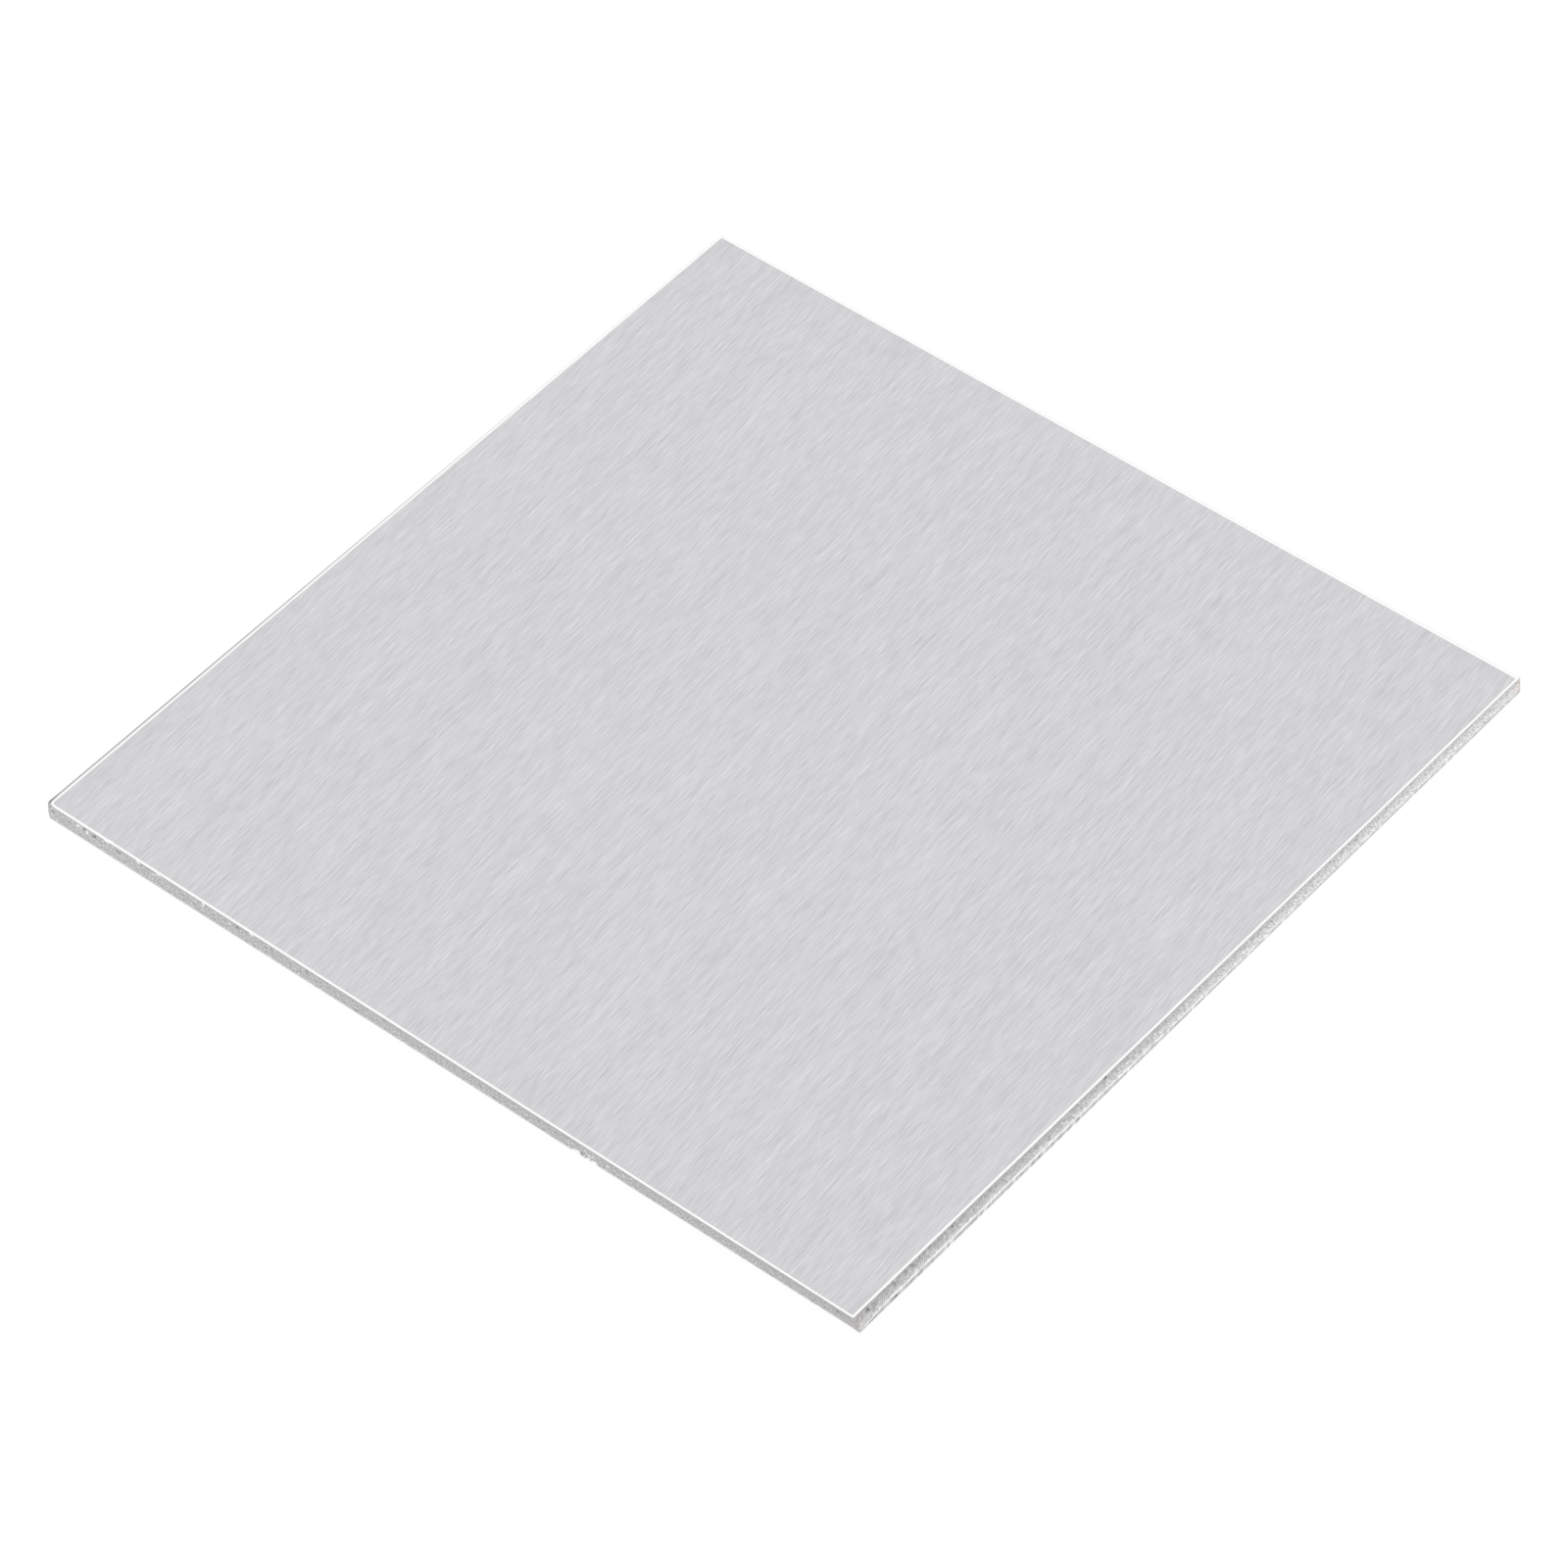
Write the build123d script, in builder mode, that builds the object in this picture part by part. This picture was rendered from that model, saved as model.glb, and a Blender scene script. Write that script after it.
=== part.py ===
from build123d import *
import os

os.makedirs("parts", exist_ok=True)

# A square piece of rolled aluminium sheet, cut out of a larger sheet on a shear
# and brushed on its top face. Millimetres, +Z up. The sheet lies on Z = 0, the
# origin is the middle of its square outline, and the brushing runs along X.

# Size of the blank over its outline
sheet_length = 150.0  # along X
sheet_width = 150.0  # along Y
sheet_thickness = 3.0

# The blade rubs an upright land at the foot of each cut, and above it the metal
# tears. The front and right cuts have the higher land.
high_land_top = 1.3
low_land_top = 0.4

# The four strokes go round the blank from its front left corner: front, right,
# back, left. A tear wanders a little along its stroke, so each rim runs askew
# to its foot. All insets are measured from the outline of the blank.
front_rim_start = 0.89
front_rim_end = 0.18
right_rim_start = 0.39
right_rim_end = 0.52

# The back and left cuts lean under the sheet, so there the foot is set in
back_foot = 0.45
back_rim_start = 0.0
back_rim_end = 0.30
left_foot = 0.38
left_rim_start = 0.50
left_rim_end = 0.0

# The blade drew the metal down into a small radius round the bottom face
rollover_radius = 0.25

# The burr is dressed off the top rim with a file held nearly flat. That leaves
# a shallow bright facet, and below it the rim is broken into a small round.
rim_width = 0.40  # from the border of the brushed face out to the cut edge
rim_drop = 0.08
rim_round = 0.10

# The larger sheet reaches this far past the outline on every side
waste_width = 5.0


# The waste outside a cut, with the file's share of the rim. It is drawn across
# the edge: X is 0 at the outline and goes outward, and Y is the height.
def waste_outside(foot_inset, land_top, rim_inset):
    torn_slope = (foot_inset - rim_inset) / (sheet_thickness - land_top)
    facet_foot = (-rim_inset - torn_slope * rim_drop, sheet_thickness - rim_drop)
    facet_top = (-rim_inset - rim_width, sheet_thickness)
    below, above = -waste_width, sheet_thickness + waste_width
    far_out = 2 * waste_width
    with BuildSketch() as waste:
        Polygon(
            (-foot_inset, below),
            (-foot_inset, land_top),
            facet_foot,
            facet_top,
            (facet_top[0], above),
            (far_out, above),
            (far_out, below),
            align=None,
        )
        rim_corner = waste.vertices().sort_by_distance(facet_foot)[0]
        fillet(rim_corner, radius=rim_round)
    return waste.sketch


# The plane across each edge stands on the outline, with its own X outward and
# its Z back toward the start of the stroke
front = Plane(origin=(0, -sheet_width / 2, 0), x_dir=(0, -1, 0), z_dir=(-1, 0, 0))
right = Plane(origin=(sheet_length / 2, 0, 0), x_dir=(1, 0, 0), z_dir=(0, -1, 0))
back = Plane(origin=(0, sheet_width / 2, 0), x_dir=(0, 1, 0), z_dir=(1, 0, 0))
left = Plane(origin=(-sheet_length / 2, 0, 0), x_dir=(-1, 0, 0), z_dir=(0, 1, 0))

# Each stroke: its plane, its length, its land, its foot, and its rim at both ends
strokes = (
    (front, sheet_length, high_land_top, 0.0, front_rim_start, front_rim_end),
    (right, sheet_width, high_land_top, 0.0, right_rim_start, right_rim_end),
    (back, sheet_length, low_land_top, back_foot, back_rim_start, back_rim_end),
    (left, sheet_width, low_land_top, left_foot, left_rim_start, left_rim_end),
)

# The larger sheet, and then the four cuts, each of which runs right through it
with BuildPart() as sheet:
    with BuildSketch(Plane.XY):
        Rectangle(sheet_length + 2 * waste_width, sheet_width + 2 * waste_width)
    extrude(amount=sheet_thickness)

    for plane, length, land_top, foot_inset, rim_start, rim_end in strokes:
        overrun = waste_width * (rim_end - rim_start) / length
        reach = length / 2 + waste_width
        with BuildSketch(plane.offset(reach)):
            add(waste_outside(foot_inset, land_top, rim_start - overrun))
        with BuildSketch(plane.offset(-reach)):
            add(waste_outside(foot_inset, land_top, rim_end + overrun))
        loft(ruled=True, mode=Mode.SUBTRACT)

    # The radius round the bottom face
    bottom_face = sheet.faces().sort_by(Axis.Z)[0]
    fillet(bottom_face.edges(), radius=rollover_radius)

sheet.part.label = "sheet"
export_step(sheet.part, "parts/sheet.step")
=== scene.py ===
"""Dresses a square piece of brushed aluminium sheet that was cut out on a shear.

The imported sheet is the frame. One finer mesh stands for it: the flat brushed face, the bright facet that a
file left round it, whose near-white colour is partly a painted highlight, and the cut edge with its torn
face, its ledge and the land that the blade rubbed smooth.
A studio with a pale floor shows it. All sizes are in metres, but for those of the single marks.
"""

import logging
import math
from dataclasses import dataclass, field, fields
from enum import Enum

import bpy
from bpy.types import Material, Node, NodeSocket, NodeTree, Object
from mathutils import Matrix, Vector


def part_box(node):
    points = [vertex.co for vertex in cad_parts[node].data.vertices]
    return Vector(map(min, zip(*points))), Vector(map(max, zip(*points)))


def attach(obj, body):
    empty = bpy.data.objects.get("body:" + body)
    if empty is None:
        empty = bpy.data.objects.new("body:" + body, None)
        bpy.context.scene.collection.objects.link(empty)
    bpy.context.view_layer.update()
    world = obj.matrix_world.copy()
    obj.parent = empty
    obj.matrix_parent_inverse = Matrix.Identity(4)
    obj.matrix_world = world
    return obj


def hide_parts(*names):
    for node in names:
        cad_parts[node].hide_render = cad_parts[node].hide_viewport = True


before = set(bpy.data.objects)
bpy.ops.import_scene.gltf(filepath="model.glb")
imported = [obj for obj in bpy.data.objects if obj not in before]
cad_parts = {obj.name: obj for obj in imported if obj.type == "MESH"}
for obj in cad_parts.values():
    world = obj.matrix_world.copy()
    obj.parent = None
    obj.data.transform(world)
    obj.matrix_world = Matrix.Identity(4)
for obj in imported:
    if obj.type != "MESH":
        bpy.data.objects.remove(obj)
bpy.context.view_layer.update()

MM = 0.001
NODE = "sheet"
BODY = "root"

EDGE_MAP = "edge_map"  # along the cut edge and up it, in metres, on face corners
FRESH = "fresh_metal"  # 1 where the cut laid bright metal bare, on points
PITTED = "pitted_metal"  # 1 where the metal has a dark pit, on points
ROW = "section_row"  # the row of the edge section, on points, while the mesh is made

FLOAT = "NodeSocketFloat"
VECTOR = "NodeSocketVector"
COLOUR = "NodeSocketColor"

SECTION_SHARED = ("Thickness", "Rim Drop", "Rim Round", "Rollover Radius", "Ledge Lip")  # shared by all cuts
TEARS_TURN = (0.1, 0.3)  # the stretch of the front side, as progress, in which the tears change their lean
WELD = 0.0005 * MM  # points that are nearer than this become one
NOT_ZERO = 1e-9  # keeps a stretch that may have no length from being empty
NOISE_SPAN = (0.3, 0.7)  # the levels between which nearly all of a cloud pattern lies
ROW_SLACK = 0.25  # tells a border's row from the row next to it
SHARP = math.radians(32.0)  # edges with a larger angle stay sharp
WHITE = (1.0, 1.0, 1.0)

Feed = float | int | bool | str | tuple | NodeSocket | Material
Colour = tuple[float, float, float]


class Wiring:
    """Short calls that add and link the nodes of one tree."""

    def __init__(self, tree: NodeTree) -> None:
        """Keeps the shader or geometry node tree that the calls work on."""
        self.tree = tree

    def node(self, kind: str, feeds: dict[str | int, Feed] | None = None, **settings: object) -> Node:
        """Adds a node.

        Args:
            kind: Blender's name for the node's type.
            feeds: What each input gets, by the input's name or number.
            settings: The node's own settings.

        Returns:
            The new node.
        """
        made = self.tree.nodes.new(kind)
        for name, value in settings.items():
            setattr(made, name, value)
        for key, value in (feeds or {}).items():
            self.feed(made.inputs[key], value)
        return made

    def feed(self, socket: NodeSocket, value: Feed) -> None:
        """Links an input to another node's output, or sets its own value.

        Args:
            socket: The input.
            value: An output socket, or a plain value. A colour is three numbers, and gets full alpha.
        """
        if isinstance(value, NodeSocket):
            self.tree.links.new(value, socket)
        elif socket.type == "RGBA":
            socket.default_value = (*value, 1.0)
        else:
            socket.default_value = value

    def math(self, operation: str, first: Feed, second: Feed = 0.0, third: Feed = 0.0) -> NodeSocket:
        """Adds one sum on numbers, by Blender's name for the operation."""
        feeds = {0: first, 1: second, 2: third}
        return self.node("ShaderNodeMath", feeds, operation=operation).outputs[0]

    def total(self, *terms: Feed) -> NodeSocket:
        """Adds numbers up.

        Args:
            terms: Two or more numbers.

        Returns:
            The sum's socket.
        """
        so_far = terms[0]
        for term in terms[1:]:
            so_far = self.math("ADD", so_far, term)
        return so_far

    def product(self, *factors: Feed) -> NodeSocket:
        """Multiplies numbers.

        Args:
            factors: Two or more numbers.

        Returns:
            The product's socket.
        """
        so_far = factors[0]
        for factor in factors[1:]:
            so_far = self.math("MULTIPLY", so_far, factor)
        return so_far

    def ramp(
        self, value: Feed, start: Feed, stop: Feed, low: Feed = 0.0, high: Feed = 1.0, soft: bool = False
    ) -> NodeSocket:
        """Maps a stretch of values to another, and holds the ends.

        Args:
            value: What is mapped.
            start: Where the stretch starts.
            stop: Where it stops.
            low: The result at start.
            high: The result at stop.
            soft: Whether the result eases in and out.

        Returns:
            The result's socket.
        """
        feeds = {0: value, 1: start, 2: stop, 3: low, 4: high}
        easing = "SMOOTHSTEP" if soft else "LINEAR"
        return self.node("ShaderNodeMapRange", feeds, interpolation_type=easing).outputs[0]

    def blend(self, share: Feed, first: Feed, second: Feed) -> NodeSocket:
        """Mixes two numbers, by the share of the second."""
        return self.node("ShaderNodeMix", {0: share, 2: first, 3: second}).outputs[0]

    def vector(self, x: Feed = 0.0, y: Feed = 0.0, z: Feed = 0.0) -> NodeSocket:
        """Joins three numbers to a vector."""
        return self.node("ShaderNodeCombineXYZ", {0: x, 1: y, 2: z}).outputs[0]

    def split(self, vector: NodeSocket) -> list[NodeSocket]:
        """Splits a vector into its x, y and z."""
        return list(self.node("ShaderNodeSeparateXYZ", {0: vector}).outputs)

    def vector_math(self, operation: str, first: Feed, second: Feed) -> NodeSocket:
        """Adds one sum on vectors, by Blender's name for the operation."""
        return self.node("ShaderNodeVectorMath", {0: first, 1: second}, operation=operation).outputs[0]

    def noise(self, vector: Feed, scale: Feed, detail: float = 2.0, roughness: float = 0.5) -> NodeSocket:
        """Adds a cloud pattern with levels around a half, by its lumps to a unit and its finer layers."""
        feeds = {"Vector": vector, "Scale": scale, "Detail": detail, "Roughness": roughness}
        return self.node("ShaderNodeTexNoise", feeds).outputs[0]

    def group(self, tree: NodeTree, feeds: dict[str, Feed]) -> dict[str, NodeSocket]:
        """Places a node group.

        Args:
            tree: The group's tree.
            feeds: What its inputs get, by name.

        Returns:
            Its output sockets by name.
        """
        kind = "GeometryNodeGroup" if tree.bl_idname == "GeometryNodeTree" else "ShaderNodeGroup"
        placed = self.node(kind, feeds, node_tree=tree)
        return {socket.name: socket for socket in placed.outputs}


@dataclass
class GroupDraft:
    """A node group while it is being wired. An input is given as its number, or as its kind of socket."""

    name: str
    kind: str
    inputs: dict[str, float | int | str]
    outputs: dict[str, str]
    tree: NodeTree = field(init=False)
    wiring: Wiring = field(init=False)
    given: dict[str, NodeSocket] = field(init=False)

    def __post_init__(self) -> None:
        """Makes the tree with its named sockets."""
        self.tree = bpy.data.node_groups.new(self.name, self.kind)
        self.wiring = Wiring(self.tree)
        sockets = self.tree.interface
        for name, value in self.inputs.items():
            if isinstance(value, str):
                sockets.new_socket(name, in_out="INPUT", socket_type=value)
            else:
                socket = "NodeSocketInt" if isinstance(value, int) else FLOAT
                sockets.new_socket(name, in_out="INPUT", socket_type=socket).default_value = value
        for name, socket in self.outputs.items():
            sockets.new_socket(name, in_out="OUTPUT", socket_type=socket)
        start = self.wiring.node("NodeGroupInput")
        self.given = {socket.name: socket for socket in start.outputs if socket.name}

    def close(self, results: dict[str, NodeSocket]) -> NodeTree:
        """Links the results to the group's outputs, by name, and gives the finished tree."""
        self.wiring.node("NodeGroupOutput", results)
        return self.tree


class ShaderKit:
    """The shader node groups that several finishes share."""

    # A painted shade runs along the back edge's rim: these give its stretch along X and its darker end at
    # the left corner.
    soil_from = -38.0 * MM
    soil_to = 38.0 * MM
    corner_soil = 3.5 * MM
    tip_band = (0.55 * MM, 1.10 * MM)
    far_band = (1.4 * MM, 0.9 * MM)

    def __init__(self, half_length: float, half_width: float) -> None:
        """Builds each group once.

        Args:
            half_length: Half the sheet's side along X.
            half_width: Half its side along Y.
        """
        self.half_length = half_length
        self.half_width = half_width
        self.lines = self._drawn_lines()
        self.grains = self._grains()
        self.shade = self._shade()
        self.progress = self._progress()
        self.soil = self._soil()

    @staticmethod
    def _drawn_lines() -> NodeTree:
        """Builds fine lines that all run one way, such as brushing, filing or scoring.

        Returns:
            The group.
        """
        inputs = {
            "Vector": VECTOR,
            "Turn": 0.0,
            "Line Width": 0.2 * MM,
            "Line Length": 4.0 * MM,
            "Shuffle": 0.0,
            "Seed": 0.0,
        }
        draft = GroupDraft("Drawn Lines", "ShaderNodeTree", inputs, {"Level": FLOAT})
        w, given = draft.wiring, draft.given
        feeds = {"Vector": given["Vector"], "Angle": w.product(given["Turn"], -1.0)}
        turned = w.node("ShaderNodeVectorRotate", feeds, rotation_type="Z_AXIS").outputs[0]
        x, y, _ = w.split(turned)
        along = w.math("DIVIDE", x, given["Line Length"])
        across = w.math("DIVIDE", y, given["Line Width"])
        row = w.node("ShaderNodeTexWhiteNoise", {"W": w.math("FLOOR", across)}, noise_dimensions="1D")
        shifted = w.math("MULTIPLY_ADD", row.outputs["Value"], given["Shuffle"], along)
        level = w.noise(w.vector(shifted, across, given["Seed"]), 1.0, detail=1.5, roughness=0.55)
        return draft.close({"Level": level})

    @staticmethod
    def _grains() -> NodeTree:
        """Builds the grain of torn metal, with sparse pits and bright sparks in it.

        Returns:
            The group.
        """
        inputs = {"Vector": VECTOR, "Grain Size": 0.2 * MM, "Seed": 0.0}
        outputs = dict.fromkeys(("Level", "Pits", "Sparks"), FLOAT)
        draft = GroupDraft("Torn Grains", "ShaderNodeTree", inputs, outputs)
        w, given = draft.wiring, draft.given
        x, y, _ = w.split(given["Vector"])
        u = w.math("DIVIDE", x, given["Grain Size"])
        v = w.math("DIVIDE", y, given["Grain Size"])
        level = w.noise(w.vector(u, v, given["Seed"]), 1.0, detail=2.0, roughness=0.6)
        pit_level = w.noise(w.vector(u, v, w.total(given["Seed"], 17.0)), 0.45, detail=1.0)
        spark_level = w.noise(w.vector(u, v, w.total(given["Seed"], 31.0)), 0.6, detail=1.0)
        pits = w.ramp(pit_level, 0.67, 0.76, soft=True)
        sparks = w.ramp(spark_level, 0.69, 0.77, soft=True)
        return draft.close({"Level": level, "Pits": pits, "Sparks": sparks})

    @staticmethod
    def _shade() -> NodeTree:
        """Builds a group that lightens and darkens a colour by a level around a half.

        Returns:
            The group.
        """
        inputs = {"Color": COLOUR, "Level": 0.5, "Contrast": 0.1}
        draft = GroupDraft("Shade By Level", "ShaderNodeTree", inputs, {"Color": COLOUR})
        w, given = draft.wiring, draft.given
        swing = w.math("SUBTRACT", given["Level"], 0.5)
        gain = w.math("MULTIPLY_ADD", swing, given["Contrast"], 1.0)
        shaded = w.node("ShaderNodeVectorMath", {0: given["Color"], "Scale": gain}, operation="SCALE")
        return draft.close({"Color": shaded.outputs[0]})

    def _progress(self) -> NodeTree:
        """Builds the way round the cut edge: 0 at the front corner, 1 at the right one and -1 at the left.

        Returns:
            The group.
        """
        draft = GroupDraft("Way Round The Edge", "ShaderNodeTree", {"Vector": VECTOR}, {"Progress": FLOAT})
        w = draft.wiring
        x, y, _ = w.split(draft.given["Vector"])
        to_right = w.math("DIVIDE", x, 2 * self.half_length)
        to_back = w.math("DIVIDE", y, 2 * self.half_width)
        return draft.close({"Progress": w.math("SUBTRACT", to_right, to_back)})

    def _soil(self) -> NodeTree:
        """Builds the painted shade along the rim of the back edge, darkest at the left corner.

        Returns:
            The group. It also tells the far sides, back and right, from the near ones.
        """
        outputs = {"Soil": FLOAT, "Far Side": FLOAT}
        draft = GroupDraft("Soiled Rim", "ShaderNodeTree", {"Vector": VECTOR}, outputs)
        w = draft.wiring
        x, y, _ = w.split(draft.given["Vector"])
        at_back = w.ramp(y, *(self.half_width - inset for inset in self.far_band))
        at_right = w.ramp(x, *(self.half_length - inset for inset in self.far_band))
        by_left = w.ramp(x, self.soil_to, self.soil_from, 0.0, 0.50)
        at_corner = w.ramp(x, self.corner_soil - self.half_length, -self.half_length, 0.0, 0.46)
        off_tip = w.ramp(x, *(inset - self.half_length for inset in self.tip_band), 0.35, 1.0)
        soil = w.product(at_back, off_tip, w.total(by_left, at_corner))
        return draft.close({"Soil": soil, "Far Side": w.math("MAXIMUM", at_back, at_right)})


@dataclass
class FinishDraft:
    """A material while it is being wired: its nodes, its surface shader and its two ways to read a place."""

    name: str
    kit: ShaderKit
    material: Material = field(init=False)
    wiring: Wiring = field(init=False)
    surface: Node = field(init=False)
    place: NodeSocket = field(init=False)
    edge: NodeSocket = field(init=False)

    def __post_init__(self) -> None:
        """Makes the material with a bare metal shader."""
        self.material = bpy.data.materials.new(self.name)
        self.material.use_nodes = True
        tree = self.material.node_tree
        tree.nodes.clear()
        self.wiring = Wiring(tree)
        self.surface = self.wiring.node("ShaderNodeBsdfPrincipled", {"Metallic": 1.0})
        self.wiring.node("ShaderNodeOutputMaterial", {"Surface": self.surface.outputs[0]})
        self.place = self.wiring.node("ShaderNodeTexCoord").outputs["Object"]
        self.edge = self.wiring.node("ShaderNodeUVMap", uv_map=EDGE_MAP).outputs[0]

    def lines(
        self, at: NodeSocket, turn: float, width: float, length: float, seed: float, shuffle: float = 0.0
    ) -> NodeSocket:
        """Places the drawn lines.

        Args:
            at: Where they are read.
            turn: Their direction, in radians.
            width: The width of a line.
            length: The length of a line.
            seed: Which pattern it is.
            shuffle: How many lengths each row of lines may be shifted by.

        Returns:
            A level around a half.
        """
        feeds = {"Vector": at, "Turn": turn, "Line Width": width, "Line Length": length}
        return self.wiring.group(self.kit.lines, {**feeds, "Shuffle": shuffle, "Seed": seed})["Level"]

    def grains(self, size: float, seed: float) -> dict[str, NodeSocket]:
        """Places the grain of torn metal on the edge, with grains of a size in metres."""
        return self.wiring.group(self.kit.grains, {"Vector": self.edge, "Grain Size": size, "Seed": seed})

    def progress(self) -> NodeSocket:
        """Reads the way round the cut edge."""
        return self.wiring.group(self.kit.progress, {"Vector": self.place})["Progress"]

    def soil(self) -> dict[str, NodeSocket]:
        """Reads how much painted shade darkens the rim, and which sides are the far ones."""
        return self.wiring.group(self.kit.soil, {"Vector": self.place})

    def shade(self, colour: Feed, level: Feed, contrast: Feed) -> NodeSocket:
        """Lightens a colour where a level is above a half and darkens it where it is below."""
        feeds = {"Color": colour, "Level": level, "Contrast": contrast}
        return self.wiring.group(self.kit.shade, feeds)["Color"]

    def mixed(self, share: Feed, first: Feed, second: Feed) -> NodeSocket:
        """Mixes two colours, by the share of the second."""
        feeds = {0: share, 6: first, 7: second}
        return self.wiring.node("ShaderNodeMix", feeds, data_type="RGBA").outputs[2]

    def attribute(self, name: str) -> NodeSocket:
        """Reads a level that the mesh carries, by the attribute's name."""
        return self.wiring.node("ShaderNodeAttribute", attribute_name=name).outputs["Fac"]

    def bump(self, height: Feed, depth: float) -> None:
        """Gives the surface fine relief, as deep in metres as a height of 1 is."""
        relief = self.wiring.node("ShaderNodeBump", {"Height": height, "Distance": depth, "Strength": 1.0})
        self.wiring.feed(self.surface.inputs["Normal"], relief.outputs[0])

    def done(self, colour: Feed, roughness: Feed) -> Material:
        """Feeds the surface.

        Args:
            colour: The metal's colour.
            roughness: Its roughness.

        Returns:
            The finished material.
        """
        self.wiring.feed(self.surface.inputs["Base Color"], colour)
        self.wiring.feed(self.surface.inputs["Roughness"], roughness)
        return self.material


@dataclass(frozen=True)
class BrushedFinish:
    """The top face: a belt brushed it one way, a little off the edge, with short and long strokes."""

    colour: Colour = (0.650, 0.650, 0.664)
    turn: float = math.radians(4.3)
    short_width: float = 0.165 * MM
    short_length: float = 3.1 * MM
    short_share: float = 0.56
    long_width: float = 0.18 * MM
    long_length: float = 7.5 * MM
    long_share: float = 0.34
    broad_width: float = 2.2 * MM
    broad_length: float = 34.0 * MM
    broad_share: float = 0.10
    shuffle: float = 50.0
    contrast: float = 1.02
    depth: float = 0.003 * MM
    roughness: tuple[float, float] = (0.36, 0.30)

    def material(self, kit: ShaderKit) -> Material:
        """Builds the material.

        Args:
            kit: The shared groups.

        Returns:
            The material.
        """
        draft = FinishDraft("brushed_face", kit)
        w = draft.wiring
        short = draft.lines(draft.place, self.turn, self.short_width, self.short_length, 1.0, self.shuffle)
        long = draft.lines(draft.place, self.turn, self.long_width, self.long_length, 2.0, self.shuffle)
        broad = draft.lines(draft.place, self.turn, self.broad_width, self.broad_length, 3.0)
        shares = ((short, self.short_share), (long, self.long_share), (broad, self.broad_share))
        level = w.total(*(w.product(lines, share) for lines, share in shares))
        draft.bump(long, self.depth)
        roughness = w.ramp(long, *NOISE_SPAN, *self.roughness)
        return draft.done(draft.shade(self.colour, level, self.contrast), roughness)


@dataclass(frozen=True)
class FacetFinish:
    """The shallow filed facet round the brushed face: near white, partly a painted highlight, with painted
    shade on its outer part.
    """

    # Near white: partly the filed facet's own brightness and partly a painted edge highlight
    colour: Colour = (0.975, 0.977, 0.982)
    # Near-black painted shade on the facet's outer part along the back edge, between the two heights below
    soiled: Colour = (0.07, 0.07, 0.07)
    soil_from: float = 2.965 * MM
    soil_to: float = 2.959 * MM
    line_width: float = 0.08 * MM
    line_length: float = 6.0 * MM
    contrast: float = 0.05
    roughness: float = 0.28

    def material(self, kit: ShaderKit) -> Material:
        """Builds the material.

        Args:
            kit: The shared groups.

        Returns:
            The material.
        """
        draft = FinishDraft("dressed_facet", kit)
        w = draft.wiring
        filed = draft.lines(draft.edge, 0.0, self.line_width, self.line_length, 4.0)
        colour = draft.shade(self.colour, filed, self.contrast)
        _, height, _ = w.split(draft.edge)
        # The facet's outer part takes the painted shade of the back rim.
        outer = w.ramp(height, self.soil_from, self.soil_to)
        soil = draft.soil()["Soil"]
        return draft.done(draft.mixed(w.product(outer, soil), colour, self.soiled), self.roughness)


@dataclass(frozen=True)
class RimFinish:
    """The small round outside the facet: its grey is painted shade, darker on the near sides, nearly black
    along the back edge's left part.
    """

    # The round's grey is painted shade: darker on the near sides than on the far ones.
    near: Colour = (0.46, 0.46, 0.462)
    far: Colour = (0.55, 0.55, 0.552)
    # Near-black painted shade along the back edge's left part
    soiled: Colour = (0.07, 0.07, 0.07)
    bright: Colour = (0.95, 0.95, 0.95)
    grain_size: float = 0.3 * MM
    contrast: float = 0.2
    roughness: float = 0.5

    def material(self, kit: ShaderKit) -> Material:
        """Builds the material.

        Args:
            kit: The shared groups.

        Returns:
            The material.
        """
        draft = FinishDraft("broken_rim", kit)
        found = draft.soil()
        grains = draft.grains(self.grain_size, 5.0)
        # Painted shade: lighter on the far sides, darker on the near ones.
        colour = draft.mixed(found["Far Side"], self.near, self.far)
        colour = draft.mixed(found["Soil"], colour, self.soiled)
        colour = draft.shade(colour, grains["Level"], self.contrast)
        return draft.done(draft.mixed(draft.attribute(FRESH), colour, self.bright), self.roughness)


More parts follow.
